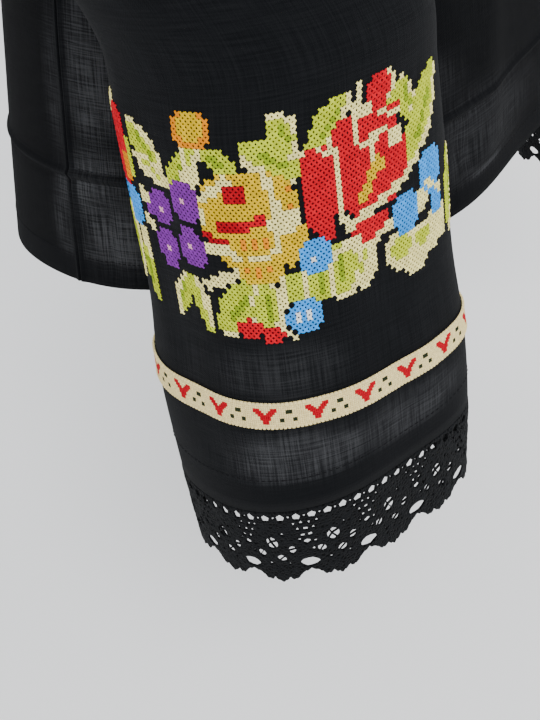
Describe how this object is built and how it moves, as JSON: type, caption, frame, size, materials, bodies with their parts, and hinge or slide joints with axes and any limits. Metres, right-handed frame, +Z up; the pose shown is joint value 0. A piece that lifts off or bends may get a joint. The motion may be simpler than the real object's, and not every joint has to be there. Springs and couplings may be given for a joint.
{
  "type": "embroidered folk blouse",
  "caption": "Black cotton gauze pullover blouse, worn out full and hollow, with wide round sleeves, flower cross-stitch, a patterned woven tape and a scalloped lace edge at each cuff.",
  "frame": {"origin": "middle of the shoulder line, inside the neck opening, where the wearer's shoulders hold the blouse", "axes": "+Z up, -Y the way the front faces, +X to the wearer's left"},
  "size_m": [0.592, 0.3941, 0.634],
  "materials": {
    "back": "thin slubby cotton gauze",
    "front": "thin slubby cotton gauze",
    "lace_left": "cotton bobbin lace",
    "lace_right": "cotton bobbin lace",
    "neck_binding": "folded cotton gauze",
    "sleeve_left": "thin slubby cotton gauze with cross-stitch",
    "sleeve_right": "thin slubby cotton gauze with cross-stitch",
    "tape_left": "woven cotton tape",
    "tape_right": "woven cotton tape"
  },
  "bodies": {
    "root": {"front_lower": "front", "front_upper_right": "front", "front_upper_left": "front", "back_lower": "back", "back_upper_right": "back", "back_upper_left": "back", "neck_binding": "neck_binding", "sleeve_right": "sleeve_right", "tape_right": "tape_right", "sleeve_left": "sleeve_left", "tape_left": "tape_left", "lace_right_outer": "lace_right", "lace_right_inner": "lace_right", "lace_left_outer": "lace_left", "lace_left_inner": "lace_left"}
  },
  "joints": []
}
